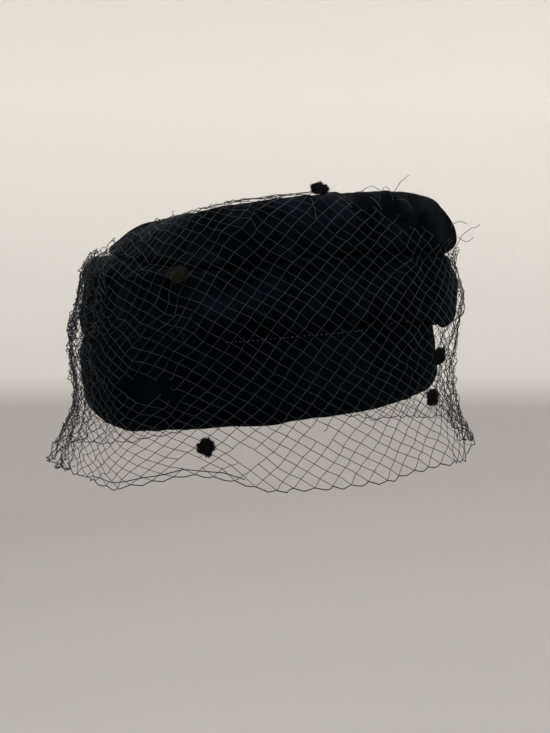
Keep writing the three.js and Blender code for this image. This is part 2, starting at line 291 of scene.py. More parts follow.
def profile_point(table, angle, share):
    """Points on the smooth surface through a profile's stations, a centripetal Catmull-Rom
    curve at each angle, with share 0 at the first station and 1 at the last."""
    points = station_points(table, angle)
    before = 2 * points[:1] - points[1:2]
    after = 2 * points[-1:] - points[-2:-1]
    points = np.concatenate([before, points, after])
    place = np.clip(share, 0, 1) * (len(table) - 1)
    first = np.minimum(place.astype(int), len(table) - 2)
    each = np.arange(len(angle))
    p0, p1, p2, p3 = (points[first + step, each] for step in range(4))
    gaps = [np.linalg.norm(b - a, axis=1)[:, None] ** 0.5 for a, b in ((p0, p1), (p1, p2), (p2, p3))]
    d0, d1, d2 = (np.maximum(gap, 1e-4) for gap in gaps)
    leave = ((p1 - p0) / d0 - (p2 - p0) / (d0 + d1) + (p2 - p1) / d1) * d1
    arrive = ((p2 - p1) / d1 - (p3 - p1) / (d1 + d2) + (p3 - p2) / d2) * d1
    t = (place - first)[:, None]
    cubic = 2 * p1 - 2 * p2 + leave + arrive
    square = -3 * p1 + 3 * p2 - 2 * leave - arrive
    return ((cubic * t + square) * t + leave) * t + p1


def veil_point(angle, rise):
    """Points on the veil, with rise 0 at the hem and 1 at the cut upper edge."""
    side = np.where(np.cos(angle) >= 0, VEIL_TOP["right"], VEIL_TOP["left"])
    end = np.where(np.sin(angle) >= 0, VEIL_TOP["back"], VEIL_TOP["front"])
    top = side * np.cos(angle) ** 2 + end * np.sin(angle) ** 2
    return profile_point(VEIL, angle, rise * top)


def normals_of(surface, angle, share):
    """Unit normals of a surface, on the side that shows."""
    step = 1e-3
    inside = np.clip(share, step, 1 - 4 * step)
    around = surface(angle + step, inside) - surface(angle - step, inside)
    onward = surface(angle, inside + step) - surface(angle, inside - step)
    normal = np.cross(around, onward)
    return normal / np.linalg.norm(normal, axis=1)[:, None]


def ripple(points, size, seed, waves=14):
    """Smooth noise from about -1 to 1: a sum of sine waves about as long as size."""
    draw = np.random.default_rng(seed)
    way = draw.normal(size=(waves, 3))
    way /= np.linalg.norm(way, axis=1)[:, None]
    length = size * draw.uniform(0.7, 1.5, waves)
    phase = draw.uniform(0, 2 * math.pi, waves)
    return np.sin(points @ (way / length[:, None]).T * 2 * math.pi + phase).sum(1) / math.sqrt(waves)


def along_line(offset, run):
    """How far along a line points lie, as a share of it, and how far beside it."""
    length = math.hypot(*run)
    return offset @ run / length**2, (offset[:, 0] * run[1] - offset[:, 1] * run[0]) / length


def tuck_depth(points):
    """How deep the tucks cut at points of the crown top."""
    depth = np.zeros(len(points))
    for tuck in TUCKS:
        run = np.subtract(tuck["to"], tuck["from"])
        along, beside = along_line(points[:, :2] - tuck["from"], run)
        shape = hump(beside, 0, tuck["width"]) * np.sin(math.pi * np.clip(along, 0, 1))
        depth += tuck["depth"] * shape
    return depth


def fold_height(points):
    """How far the soft folds stand out at points on the side of the crown."""
    angle = np.degrees(np.arctan2(points[:, 1], points[:, 0])) % 360
    height = np.zeros(len(points))
    for fold in FOLDS:
        run = np.subtract(fold["to"], fold["from"]) * [FOLD_PITCH, 1]
        turn = (angle - fold["from"][0] + 180) % 360 - 180
        offset = np.stack([turn * FOLD_PITCH, points[:, 2] - fold["from"][1]], -1)
        along, beside = along_line(offset, run)
        taper = np.sin(math.pi * np.clip(along, 0, 1)) ** 0.7
        height += fold["stand"] * hump(beside, 0, fold["width"]) * taper
    return height


def make_mesh(name, points, faces, smooth=True):
    """A mesh object from points in millimetres and faces that all have the same number of corners."""
    corners = faces.shape[1]
    mesh = bpy.data.meshes.new(name)
    mesh.vertices.add(len(points))
    mesh.vertices.foreach_set("co", (points * MM).astype(np.float32).ravel())
    mesh.loops.add(faces.size)
    mesh.loops.foreach_set("vertex_index", faces.astype(np.int32).ravel())
    mesh.polygons.add(len(faces))
    mesh.polygons.foreach_set("loop_start", np.arange(0, faces.size, corners, dtype=np.int32))
    mesh.polygons.foreach_set("use_smooth", np.full(len(faces), smooth))
    mesh.update(calc_edges=True)
    mesh.validate()
    made = bpy.data.objects.new(name, mesh)
    bpy.context.scene.collection.objects.link(made)
    return made


def ring_faces(rings, sides):
    """The faces between rings of points, each ring closed on itself."""
    here = np.arange(rings * sides).reshape(rings, sides)
    beside = np.roll(here, -1, axis=1)
    return np.stack([here[:-1], beside[:-1], beside[1:], here[1:]], -1).reshape(-1, 4)


def velvet_wall(name, table, columns, rows, relief, level_top=False):
    """A closed wall of velvet behind a profile's surface, moved out along its normal by relief."""
    angle = np.tile(np.linspace(0, 2 * math.pi, columns, endpoint=False), rows + 1)
    share = np.repeat(np.linspace(0, 1, rows + 1), columns)
    surface = lambda a, s: profile_point(table, a, s)
    pole = table[-1]["front"][0] == 0
    on_surface = surface(angle, np.minimum(share, 1 - 1e-4) if pole else share)
    normal = normals_of(surface, angle, share)
    outer = on_surface + normal * relief(on_surface, share, angle)[:, None]
    inner = on_surface - normal * VELVET
    if level_top:
        inner[-columns:, 2] = outer[-columns:, 2]
    count = (rows + 1) * columns
    quads = ring_faces(rows + 1, columns)
    here = np.arange(columns)
    beside = np.roll(here, -1)
    low = np.stack([beside, here, here + count, beside + count], -1)
    high = np.stack([here, beside, beside + count, here + count], -1) + rows * columns
    faces = [quads, quads[:, ::-1] + count, low, high]
    return make_mesh(name, np.concatenate([outer, inner]), np.concatenate(faces))


def edge_fade(share):
    """0 at both ends of a profile and 1 between them."""
    return np.clip(np.minimum(share, 1 - share) / 0.12, 0, 1)


def cloth(points, name):
    """The drape and crumple of a velvet piece."""
    row = RELIEF[name]
    drape = row["drape"] * ripple(points * [1, 1, row["upward"]], row["long"], row["seed"])
    return drape + row["crumple"] * ripple(points, row["short"], row["seed"] + 1)


def hump(value, middle, width):
    """1 at a middle value, and less on either side of it."""
    return np.exp(-(((value - middle) / width) ** 2))


def band_relief(points, share, angle):
    return cloth(points, "band") * edge_fade(share)


def roll_relief(points, share, angle):
    """The roll's drape, with a lip at its shoulder that covers the crease under the crown top, and
    the room under the crown top closed but for a hair."""
    foot = 0.3 * (1 - np.clip(share / 0.04, 0, 1))
    stand = 0.6 + 2.2 * np.maximum(-np.sin(angle), 0) + np.maximum(np.cos(angle), 0)
    under = np.clip((share - SHOULDER) / 0.06, 0, 1)
    top_foot = profile_point(CROWN_TOP, angle, np.full(len(share), 0.08))[:, 2]
    room = top_foot - points[:, 2] - 0.5
    raised = stand * hump(share, 0.765, 0.05) + under * np.clip(room, 0, 2)
    raised = np.where(share > SHOULDER, np.minimum(raised, room), raised)
    draped = (fold_height(points) + cloth(points, "roll")) * edge_fade(share) * (1 - under)
    return foot + draped + raised


def top_relief(points, share, angle):
    """The crown top's drape and tucks, with a bulge that leans out over the roll."""
    fade = np.clip((share - 0.14) / 0.12, 0, 1) * np.clip((1 - share) / 0.1, 0, 1)
    foot = 0.25 * (1 - np.clip((share - 0.12) / 0.05, 0, 1))
    bulge = (0.8 + 2 * np.maximum(-np.sin(angle), 0)) * hump(share, 0.28, 0.08)
    tucks = tuck_depth(points) * np.clip((share - 0.2) / 0.2, 0, 1)
    return (fold_height(points) + cloth(points, "top")) * fade - tucks + foot + bulge


def tubes(lines, radii, sides):
    """Round threads: lines is threads by points by 3, radii one for each thread. Open at both ends."""
    threads, steps, _ = lines.shape
    ahead = np.gradient(lines, axis=1)
    ahead /= np.maximum(np.linalg.norm(ahead, axis=2), 1e-9)[:, :, None]
    helper = np.where(np.abs(ahead[:, :1, 2:]) < 0.8, [[[0.0, 0, 1]]], [[[1.0, 0, 0]]])
    across = np.cross(ahead, np.broadcast_to(helper, ahead.shape))
    across /= np.maximum(np.linalg.norm(across, axis=2), 1e-9)[:, :, None]
    other = np.cross(ahead, across)
    turn = np.arange(sides) * 2 * math.pi / sides
    ring = across[:, :, None] * np.cos(turn)[:, None] + other[:, :, None] * np.sin(turn)[:, None]
    radius = np.broadcast_to(np.asarray(radii, float).reshape(threads, -1), (threads, steps))
    points = lines[:, :, None] + ring * radius[:, :, None, None]
    index = np.arange(threads * steps * sides).reshape(threads, steps, sides)
    beside = np.roll(index, -1, axis=2)
    quads = np.stack([index[:, :-1], beside[:, :-1], beside[:, 1:], index[:, 1:]], -1)
    return points.reshape(-1, 3), quads.reshape(-1, 4)


def velvet_tree(pieces):
    """The velvet's surfaces, in millimetres, for finding the nearest point on them."""
    corners, faces = [], []
    for piece in pieces:
        first = len(corners)
        corners += [point.co / MM for point in piece.data.vertices]
        faces += [[first + number for number in face.vertices] for face in piece.data.polygons]
    return BVHTree.FromPolygons(corners, faces)


def column_of(table, key, value, name):
    """A table's named column at a value of its key column, between its rows on a straight line."""
    return np.interp(value, [row[key] for row in table], [row[name] for row in table])


def around_hat(angle):
    """An angle in degrees brought between the back, at 90, and the back again, at 450."""
    return (angle - 90) % 360 + 90


def net_levels():
    """For heights above the hem, the angles all round the hat and the length of the veil from the
    front to each, together with how far up the veil's profile each height lies."""
    to_back = 182
    angle = FRONT + np.arange(-to_back, 361.0 - to_back)
    rise = np.linspace(0, 1, 61)
    turn = np.radians(np.tile(angle, len(rise)))
    points = veil_point(turn, np.repeat(rise, len(angle))).reshape(len(rise), len(angle), 3)
    climb = np.linalg.norm(np.diff(points, axis=0), axis=2).cumsum(0)
    climb = np.concatenate([np.zeros((1, len(angle))), climb])
    heights = np.arange(0, 200, 4.0)
    share = np.stack([np.interp(heights, climb[:, k], rise) for k in range(len(angle))], 1)
    level = veil_point(np.tile(turn[: len(angle)], len(heights)), share.ravel())
    level = level.reshape(len(heights), len(angle), 3)
    length = np.linalg.norm(np.diff(level, axis=1), axis=2).cumsum(1)
    length = np.concatenate([np.zeros((len(heights), 1)), length], 1)
    length -= length[:, to_back : to_back + 1]
    return heights, angle, length, share, climb[-1]


def gathered_length(column, start, end, middle, width):
    """Lengths from the front for columns beyond the smooth ones: the meshes keep their width
    but for those that are left over, which are gathered round the middle."""
    spare = NET_COLUMNS / 2 - SMOOTH_MESHES
    length = np.linspace(start, end, 200)
    bump = np.exp(-(((length - middle) / width) ** 2))
    step = length[1] - length[0]
    natural = (end - start) / MESH_WIDTH
    if natural < spare:
        extra = (spare - natural) / (bump.sum() * step)
        density = 1 / MESH_WIDTH + extra * bump
    else:
        density = np.full(200, spare / (end - start))
    counted = np.concatenate([[0], ((density[1:] + density[:-1]) / 2).cumsum() * step])
    counted *= spare / counted[-1]
    return np.interp(column - SMOOTH_MESHES, counted, length)


def level_below(height, heights):
    """The number of the level under each height, and how far it is to the next, from 0 to 1."""
    place = np.clip(height / (heights[1] - heights[0]), 0, len(heights) - 1.001)
    low = place.astype(int)
    return low, place - low


def net_angles(column, height, levels):
    """The angle round the hat of knots, from their columns left or right of the front."""
    heights, angle, length, _, _ = levels
    names = ("shift", "middle", "left", "right")
    found = np.zeros((len(heights), len(column)))
    for number, level in enumerate(heights):
        drawn, middle, left, right = (column_of(NET_WIDTH, "height", level, name) for name in names)
        beside = np.where(column < 0, left, right) - middle
        aside = np.minimum(np.abs(column), SMOOTH_MESHES) / SIDE_MESHES
        smooth = column * (middle + beside * aside) - drawn
        for side, name in ((-1, "left"), (1, "right")):
            wide = middle + ((left if side < 0 else right) - middle) * SMOOTH_MESHES / SIDE_MESHES
            start = SMOOTH_MESHES * wide - side * drawn
            end = side * length[number, 0 if side < 0 else -1]
            gather = side * np.interp(GATHERS[name], angle, length[number])
            beyond = side * column > SMOOTH_MESHES
            far = gathered_length(side * column[beyond], start, end, gather, GATHER_WIDTH[name])
            smooth[beyond] = side * far
        found[number] = np.interp(smooth, length[number], angle)
    low, past = level_below(height, heights)
    each = np.arange(len(column))
    return found[low, each] * (1 - past) + found[low + 1, each] * past


def mesh_height(mesh):
    """How high above the hem meshes hang at the front, where the first lies nearly flat."""
    hem = MESH_HEIGHT["hem"] * np.minimum(mesh, 1) ** 2
    band = MESH_HEIGHT["band"] * np.clip(mesh - 1, 0, CROWN_MESH - 1)
    return hem + band + MESH_HEIGHT["crown"] * np.maximum(mesh - CROWN_MESH, 0)


def net_knots(column, mesh, levels):
    """Knot positions for columns left or right of the front and meshes up from the hem, with the
    angle and the height above the hem of each."""
    heights, angle, _, share, _ = levels
    height = mesh_height(mesh)
    aside = column / SIDE_MESHES
    left, right = 0.3 * (1 - np.exp(-0.6 * aside**2)), 0.12 * (1 - np.exp(-0.5 * aside**2))
    droop = np.where(column < 0, left, right) + 0.18 * np.clip((column - 16) / 28, 0, 1)
    height = height * (1 - droop)
    turn = net_angles(column, height, levels)
    height += column_of(HEM_WAVES, "angle", around_hat(turn), "lift") * np.exp(-height / HEM_REACH)
    for snag in SNAGS:
        away = np.hypot((turn - snag["angle"]) * FOLD_PITCH, height - snag["height"]) / snag["reach"]
        turn += snag["right"] / FOLD_PITCH * np.exp(-(away**2))
        height += snag["up"] * np.exp(-(away**2))
    for name, pinch in PINCH.items():
        height += (pinch - height) * 0.45 * hump(turn, GATHERS[name], 14) * hump(height, pinch, 26)
    low, past = level_below(height, heights)
    near = np.clip(np.round(turn - angle[0]), 0, len(angle) - 1).astype(int)
    rise = share[low, near] * (1 - past) + share[low + 1, near] * past
    turned = np.radians(turn)
    flat = veil_point(turned, rise)
    normal = normals_of(veil_point, turned, rise)
    flat[:, 2] += np.minimum(height, 0)
    return flat, normal, turn, height


def settle(points, normal, tree, weight, clearance):
    """Bring points down onto the velvet by weight, and keep all of them clear of it."""
    settled = points.copy()
    for number, point in enumerate(points):
        found, _, _, distance = tree.find_nearest(Vector(point))
        out = point - np.array(found)
        out = out / distance if distance > 1e-6 else normal[number]
        if out @ normal[number] < 0:
            out, distance = normal[number], -distance
        wanted = max(clearance[number], distance + (clearance[number] - distance) * weight[number])
        settled[number] = np.array(found) + out * wanted
    return settled


def evened(values, edges, passes):
    """Values at knots drawn toward the mean of their neighbours, again and again."""
    for _ in range(passes):
        total = np.zeros_like(values)
        count = np.zeros(len(values))
        for here, there in (edges.T, edges[:, ::-1].T):
            np.add.at(total, here, values[there])
            np.add.at(count, here, 1)
        mean = total / np.maximum(count, 1)[:, None]
        values = np.where(count[:, None] > 0, (values + 2 * mean) / 3, values)
    return values


def bowed_threads(start, end, steps, draw):
    """Threads between knots, each as long as the net's own, so that a slack one bows."""
    chord = end - start
    length = np.linalg.norm(chord, axis=1)
    slack = np.maximum(THREAD_LENGTH - length, 0)
    deep = 0.07 + 0.65 * np.maximum(slack - 0.5, 0)
    way = draw.normal(size=start.shape) + [0, 0, -0.5]
    along = chord / np.maximum(length, 1e-6)[:, None]
    way -= (way * along).sum(1)[:, None] * along
    way /= np.maximum(np.linalg.norm(way, axis=1), 1e-6)[:, None]
    share = np.linspace(0, 1, steps)
    bow = (4 * share * (1 - share))[None, :, None] * (way * np.minimum(deep, 1.3)[:, None])[:, None]
    return start[:, None] + chord[:, None] * share[None, :, None] + bow


def hem_cord(knots, row, column, turn):
    """The second thread that runs along the hem on the wearer's right, in four-point lengths."""
    chosen = (row == 1) & (turn > HEM_CORD["from"]) & (turn < HEM_CORD["to"])
    line = knots[chosen][np.argsort(column[chosen])]
    line = (line + np.roll(line, 1, axis=0))[1:] / 2 + [0, 0, HEM_CORD["rise"]]
    line[:, 2] += 0.8 * ripple(line, 16, 57)
    share = np.linspace(0, 1, 4)[None, :, None]
    return line[:-1, None] * (1 - share) + line[1:, None] * share


def net_lift(flat, turn, height, pucker):
    """How far knots stand off the veil's surface, where the net bunches at its gathers and flares
    at its hem."""
    low = np.exp(-np.maximum(height, 0) / 22)
    round_hat = np.radians(around_hat(turn))
    flare = low * (1.6 * np.sin(round_hat * 13) + 1.1 * np.sin(round_hat * 29 + 1))
    slack = 0.5 + 0.5 * ripple(flat, 34, 51) + 0.25 * ripple(flat, 12, 52)
    left = hump(turn, GATHERS["left"], 30)
    drawn_in = 4 * left * hump(height, 34, 16)
    puffed = 2.4 * left * hump(height, PINCH["left"], 14)
    return np.maximum(slack + 3.4 * pucker + flare - drawn_in + puffed, -5)


def resting(points):
    """How fully the net lies on the velvet at points, from 0 to 1."""
    return np.clip((points[:, 2] - REST_FROM) / REST_RISE, 0, 1)


def near_dots(knots):
    """1 at a dot and less around it, where the net stays up under the dot."""
    near = np.zeros(len(knots))
    for dot in DOTS:
        centre = veil_point(np.array([math.radians(dot["angle"])]), np.array([float(dot["rise"])]))
        near = np.maximum(near, hump(np.linalg.norm(knots - centre, axis=1), 0, DOT["width"]))
    return near


def kept_knots(turn, height, levels, draw):
    """Which knots are left: those under the cut upper edge and outside the tears."""
    turn_on = around_hat(turn)
    top = np.interp(turn, levels[1], levels[4])
    top = np.minimum(top, column_of(CUT_EDGE, "angle", turn_on, "height"))
    kept = height < top + draw.normal(scale=2.2, size=len(height)) - 1
    for tear in TEARS:
        wide = (turn_on - tear["angle"]) * FOLD_PITCH / tear["wide"]
        kept &= np.hypot(wide, (height - tear["height"]) / tear["high"]) > 1
    return kept


def whole_threads(knots, normal, edges, tree, draw):
    """The threads between knots that are left, kept clear of the velvet along their length."""
    first, second = edges.T
    lines = bowed_threads(knots[first], knots[second], 4, draw)
    inner = lines[:, 1:-1].reshape(-1, 3)
    out = np.repeat((normal[first] + normal[second]) / 2, 2, axis=0)
    out /= np.linalg.norm(out, axis=1)[:, None]
    loosely = np.zeros(len(inner))
    lines[:, 1:-1] = settle(inner, out, tree, loosely, loosely + THREAD_CLEAR).reshape(-1, 2, 3)
    return lines


def cut_ends(knots, normal, edges, kept, draw):
    """What is left of cut threads on the knots beside them."""
    first, second = edges.T
    inner = kept[first][:, None]
    root = np.where(inner, knots[first], knots[second])
    tip = np.where(inner, knots[second], knots[first])
    out = np.where(inner, normal[first], normal[second])
    tip = root + (tip - root) * draw.uniform(0.2, 0.8, len(root))[:, None]
    tip += out * draw.uniform(0, 2, len(root))[:, None]
    return bowed_threads(root, tip, 4, draw)


def joined(parts):
    """The points and faces of several meshes as one."""
    points, faces, count = [], [], 0
    for part_points, part_faces in parts:
        points.append(part_points)
        faces.append(part_faces + count)
        count += len(part_points)
    return np.concatenate(points), np.concatenate(faces)


def build_net(tree):
    """The whole net as threads between knots, with a heavier thread along the hem's zigzag."""
    draw = np.random.default_rng(61)
    levels = net_levels()
    half_rows = 2 * NET_ROWS
    row, place = np.mgrid[0 : half_rows + 1, 0:NET_COLUMNS]
    column = place + (row % 2) / 2 - NET_COLUMNS / 2
    row, place, column = row.ravel(), place.ravel(), column.ravel()
    flat, normal, turn, height = net_knots(column, row / 2, levels)

    pucker = hump(turn, GATHERS["left"], 16) + hump(turn, GATHERS["right"], 14)
    pucker *= np.sin(column * 2.3 + 1.6 * np.sin(height / 17 + column * 0.4)) * 0.5 + 0.1
    tangle = hump(turn, GATHERS["left"], 26) + hump(turn, GATHERS["right"], 20)
    shift = np.stack([ripple(flat, 15, seed) for seed in (53, 54, 55)], -1) * 0.45
    shift += draw.normal(scale=0.9, size=shift.shape) * tangle[:, None]
    knots = flat + normal * net_lift(flat, turn, height, pucker)[:, None] + shift

    weight = resting(knots) * np.clip(1 - 0.6 * np.abs(pucker), 0, 1)
    clearance = 1.0 + 0.5 * np.abs(ripple(flat, 20, 56)) + 1.5 * np.maximum(pucker, 0)
    settled = settle(knots, normal, tree, weight, clearance)
    kept = kept_knots(turn, height, levels, draw)

    below = row < half_rows
    index = row * NET_COLUMNS + place
    right = (row + 1) * NET_COLUMNS + (place + row % 2) % NET_COLUMNS
    left = (row + 1) * NET_COLUMNS + (place + row % 2 - 1) % NET_COLUMNS
    edges = np.concatenate([np.stack([index, right], -1)[below], np.stack([index, left], -1)[below]])
    whole = kept[edges].all(1)
    drawn = evened(settled - knots, edges[whole], 8) * (1 - near_dots(knots))[:, None]
    knots = settle(knots + drawn, normal, tree, np.zeros(len(knots)), clearance * 0.8)
    cut = kept[edges].any(1) & ~whole & (draw.random(len(edges)) < 0.35)

    threads = whole_threads(knots, normal, edges[whole], tree, draw)
    hem = edges[whole].min(1) < NET_COLUMNS
    cord = hem_cord(knots, row, column, around_hat(turn))
    width = np.concatenate([np.where(hem, HEM_THREAD, THREAD), np.full(len(cord), HEM_THREAD)])
    ends = cut_ends(knots, normal, edges[cut], kept, draw)
    loose = loose_ends(tree)
    net = make_mesh("veil_net", *joined([
        tubes(np.concatenate([threads, cord]), width / 2, 3),
        tubes(ends, np.full(len(ends), THREAD / 2), 3),
        tubes(loose, np.full(len(loose), THREAD / 2), 3),
    ]))
    return net, knots[kept & np.isin(np.arange(len(kept)), edges[whole])]


def loose_ends(tree):
    """Bent threads that stand away from the net, each from its own place on it."""
    draw = np.random.default_rng(63)
    names = ("angle", "rise", "reach", "lean", "bow")
    values = np.array([[row[name] for name in names] for row in LOOSE_ENDS], float)
    angle, rise, reach, lean, bow = values.T
    turn, lean = np.radians(angle), np.radians(lean)
    start, normal = veil_point(turn, rise), normals_of(veil_point, turn, rise)
    start = settle(start, normal, tree, resting(start), np.ones(len(start)))
    level = np.zeros(len(lean))
    ahead = np.stack([np.sin(lean), level, np.cos(lean)], -1) * reach[:, None]
    beside = np.stack([-np.cos(lean), level, np.sin(lean)], -1) * bow[:, None]
    share = np.linspace(0, 1, 7)[None, :, None]
    lines = start[:, None] + ahead[:, None] * share + beside[:, None] * np.sin(math.pi * share)
    return lines + draw.normal(scale=0.3, size=lines.shape) * share


def build_stitches(tree):
    """Short threads sewn along the seams, lying just on the velvet."""
    draw = np.random.default_rng(71)
    lines = []
    for seam in STITCHES:
        start, run = np.array(seam["from"], float), np.subtract(seam["to"], seam["from"])
        ahead = run * [FOLD_PITCH, 1] / math.hypot(run[0] * FOLD_PITCH, run[1])
        for number in range(seam["count"]):
            middle = start + run * (number + 0.5) / seam["count"] + draw.normal(scale=0.12, size=2)
            ends = []
            for side in (-0.5, 0, 0.5):
                angle, height = middle + side * seam["length"] * ahead / [FOLD_PITCH, 1]
                out = Vector((math.cos(math.radians(angle)), math.sin(math.radians(angle)), 0))
                outside = Vector((0, 0, height)) + out * 140
                found = tree.ray_cast(outside, -out)[0] or tree.find_nearest(outside)[0]
                lift = 0.35 if side == 0 else 0.22
                ends.append(np.array(found) + np.array(out) * (STITCH / 2 + lift))
            lines.append(ends)
    points, faces = tubes(np.array(lines), np.full(len(lines), STITCH / 2), 5)
    return make_mesh("seam_stitches", points, faces)


def build_knots(knots):
    """A small octahedron on every knot of the net."""
    corners = np.array([[1, 0, 0], [-1, 0, 0], [0, 1, 0], [0, -1, 0], [0, 0, 1], [0, 0, -1]])
    sides = [[0, 2, 4], [2, 1, 4], [1, 3, 4], [3, 0, 4], [2, 0, 5], [1, 2, 5], [3, 1, 5], [0, 3, 5]]
    points = knots[:, None] + corners[None] * KNOT / 2
    faces = np.arange(len(knots))[:, None, None] * len(corners) + np.array(sides)[None]
    return make_mesh("veil_knots", points.reshape(-1, 3), faces.reshape(-1, 3))


def build_dot(dot, seed):
    """A tuft of chenille: many short bristles round a small core, lying on the veil."""
    draw = np.random.default_rng(seed)
    angle, rise = np.array([math.radians(dot["angle"])]), np.array([float(dot["rise"])])
    normal = normals_of(veil_point, angle, rise)[0]
    centre = veil_point(angle, rise)[0] + normal * (DOT["clear"] + DOT["thickness"] / 2)
    across = np.cross(normal, [0, 0, 1.0])
    across /= np.linalg.norm(across)
    axes = np.stack([across, np.cross(normal, across), normal])
    count = DOT["bristles"]
    way = draw.normal(size=(count, 3))
    way /= np.linalg.norm(way, axis=1)[:, None]
    reach = np.array([DOT["width"], DOT["width"], DOT["thickness"]]) / 2
    length = draw.uniform(0.75, 1.05, count)[:, None] * (1 + 0.16 * ripple(way * 4, 3, seed + 1))[:, None]
    tip = way * reach * length
    root = way * reach * 0.25 + draw.normal(scale=0.25, size=(count, 3))
    middle = (tip + root) / 2 + draw.normal(scale=0.3, size=(count, 3))
    lines = np.stack([root, middle, tip], 1) @ axes + centre
    taper = np.array([0.26, 0.19, 0.06])[None] * draw.uniform(0.8, 1.3, count)[:, None]
    points, faces = tubes(lines, taper, 3)
    return make_mesh(dot["name"] + "_tuft", points, faces)


def node_material(name):
    made = bpy.data.materials.new(name)
    made.use_nodes = True
    nodes = made.node_tree.nodes
    return made, nodes, made.node_tree.links, nodes["Principled BSDF"]


def set_inputs(node, values):
    for name, value in values.items():
        node.inputs[name].default_value = value


def noise(nodes, links, place, scale, detail=2):
    """Soft noise over the piece's own coordinates."""
    made = nodes.new("ShaderNodeTexNoise")
    set_inputs(made, {"Scale": scale, "Detail": detail})
    links.new(place.outputs["Object"], made.inputs["Vector"])
    return made


def cloudy_tone(nodes, links, place, look):
    """A colour that drifts between two tones in clouds."""
    cloud = noise(nodes, links, place, look["scale"], look["detail"])
    tone = nodes.new("ShaderNodeValToRGB")
    for stop, position, color in zip(tone.color_ramp.elements, look["span"], look["tones"]):
        stop.position = position
        stop.color = (*color, 1)
    links.new(cloud.outputs["Fac"], tone.inputs["Fac"])
    return tone


def cloudy_material(name, look, surface):
    """A material whose base colour drifts between two tones."""
    made, nodes, links, shader = node_material(name)
    tone = cloudy_tone(nodes, links, nodes.new("ShaderNodeTexCoord"), look)
    links.new(tone.outputs["Color"], shader.inputs["Base Color"])
    set_inputs(shader, surface)
    return made


# How each cloth's tones lie: the noise's scale and detail, where the dark and the light tone lie in
# it, and the two tones
PILE = {
    "scale": 28,
    "detail": 5,
    "span": (0.4, 0.72),
    "tones": ((0.0002, 0.0005, 0.0008), (0.0011, 0.0019, 0.0031)),
}
NET_THREAD = {
    "scale": 90,
    "detail": 2,
    "span": (0.3, 0.75),
    "tones": ((0.003, 0.0036, 0.0044), (0.013, 0.0148, 0.0172)),
}
STITCH_THREAD = {
    "scale": 120,
    "detail": 2,
    "span": (0.35, 0.65),
    "tones": ((0.01, 0.0112, 0.013), (0.042, 0.045, 0.05)),
}
BLACK_CHENILLE = {
    "scale": 400,
    "detail": 2,
    "span": (0.35, 0.7),
    "tones": ((0.0005, 0.0006, 0.0006), (0.0035, 0.0034, 0.0032)),
}
# The same chenille painted olive brown for one dot: a painted sheen
PAINTED_SHEEN_CHENILLE = {**BLACK_CHENILLE, "tones": ((0.004, 0.0039, 0.0024), (0.015, 0.0145, 0.0095))}
# The pile's colour in rubbed strokes, on the crown and on the band: crushed pile lightened as a painted
# sheen, the crown's far more than the band's
CROWN_RUBBED_PILE_AND_SHEEN = (0.0065, 0.0098, 0.0145)
BAND_RUBBED_PILE_AND_SHEEN = (0.0016, 0.0026, 0.0036)

VELVET_SURFACE = {
    "Roughness": 0.95,
    "Specular IOR Level": 0.02,
    "Sheen Weight": 0.0035,
    "Sheen Roughness": 0.35,
    "Sheen Tint": (0.6, 0.8, 1, 1),
}
THREAD_SURFACE = {"Roughness": 0.5, "Specular IOR Level": 0.21, "Specular Tint": (0.74, 0.88, 1, 1)}
STITCH_SURFACE = {"Roughness": 0.6, "Specular IOR Level": 0.4}
CHENILLE_SURFACE = {"Roughness": 1, "Specular IOR Level": 0.1, "Sheen Weight": 0.01}


def velvet_material(name, rubbed_and_sheen_color):
    """Pile velvet, with a fine nap and patches of lighter strokes of crushed pile, whose colour is partly
    a painted sheen.
    """
    made, nodes, links, shader = node_material(name)
    place = nodes.new("ShaderNodeTexCoord")
    tone = cloudy_tone(nodes, links, place, PILE)
    nap = noise(nodes, links, place, 1900)
    bump = nodes.new("ShaderNodeBump")
    set_inputs(bump, {"Strength": 0.55, "Distance": 0.0006})
    hatch = nodes.new("ShaderNodeTexWave")
    hatch.bands_direction = "DIAGONAL"
    set_inputs(hatch, {"Scale": 480, "Distortion": 1.2})
    patch = noise(nodes, links, place, 55, 3)
    patchy = nodes.new("ShaderNodeMapRange")
    set_inputs(patchy, {"From Min": 0.48, "From Max": 0.66})
    sharp = nodes.new("ShaderNodeMath")
    sharp.operation = "POWER"
    sharp.inputs[1].default_value = 4
    # The lighter strokes of crushed pile: real rubbing, with a painted sheen in their colour
    rubbed_and_sheen_strokes = nodes.new("ShaderNodeMath")
    rubbed_and_sheen_strokes.operation = "MULTIPLY"
    rubbed_and_sheen = nodes.new("ShaderNodeMix")
    rubbed_and_sheen.data_type = "RGBA"
    rubbed_and_sheen.inputs["B"].default_value = (*rubbed_and_sheen_color, 1)
    links.new(place.outputs["Object"], hatch.inputs["Vector"])
    links.new(patch.outputs["Fac"], patchy.inputs["Value"])
    links.new(patchy.outputs["Result"], rubbed_and_sheen_strokes.inputs[0])
    links.new(hatch.outputs["Fac"], sharp.inputs[0])
    links.new(sharp.outputs["Value"], rubbed_and_sheen_strokes.inputs[1])
    links.new(rubbed_and_sheen_strokes.outputs["Value"], rubbed_and_sheen.inputs["Factor"])
    links.new(tone.outputs["Color"], rubbed_and_sheen.inputs["A"])
    links.new(rubbed_and_sheen.outputs["Result"], shader.inputs["Base Color"])
    links.new(nap.outputs["Fac"], bump.inputs["Height"])
    links.new(bump.outputs["Normal"], shader.inputs["Normal"])
    set_inputs(shader, VELVET_SURFACE)
    return made


def facing(right, up, back, place):
    """The matrix of a camera or light at a place, with its own axes along right, up and back."""
    return Matrix([[*axes, at] for *axes, at in zip(right, up, back, place)] + [[0, 0, 0, 1]])


